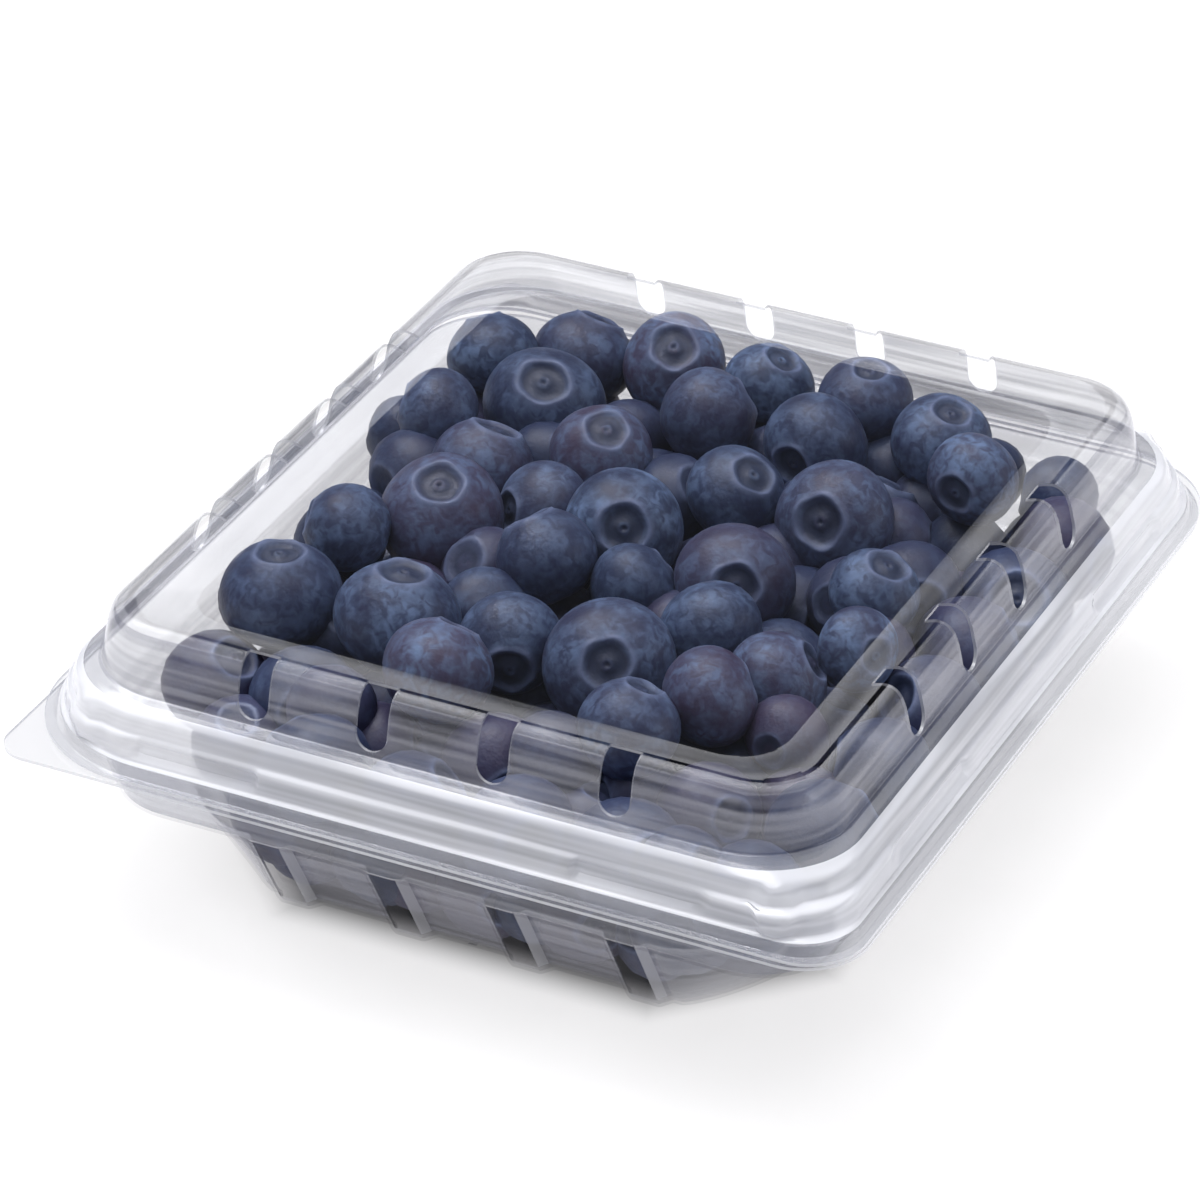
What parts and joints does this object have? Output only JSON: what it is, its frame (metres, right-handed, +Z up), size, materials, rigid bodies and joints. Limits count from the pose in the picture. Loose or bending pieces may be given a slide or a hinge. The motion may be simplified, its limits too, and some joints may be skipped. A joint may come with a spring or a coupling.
{
  "type": "punnet of blueberries",
  "caption": "Clear plastic clamshell punnet heaped with blueberries, with a vented domed lid hinged along the back edge and a ribbed, tapered tub.",
  "frame": {"origin": "on the ground under the middle of the pack's outer box", "axes": "+Z up, -Y towards the front edge with the pull tab, +X towards the right when seen from the front"},
  "size_m": [0.1188, 0.1332, 0.0422],
  "materials": {
    "tub_plastic": "clear thermoformed plastic, glossy",
    "lid_plastic": "clear thermoformed plastic, glossy",
    "berry_skin": "dark blue fruit skin with a pale dusty bloom"
  },
  "bodies": {
    "tub": {"tub": "tub_plastic", "berry_heap": "berry_skin"},
    "lid": {"lid": "lid_plastic"}
  },
  "joints": [
    {"name": "lid_hinge", "type": "hinge", "parent": "tub", "child": "lid", "pos_m": [0, 0.06675, 0.02505], "axis": [-1, 0, 0], "range_deg": [0, 180]}
  ]
}
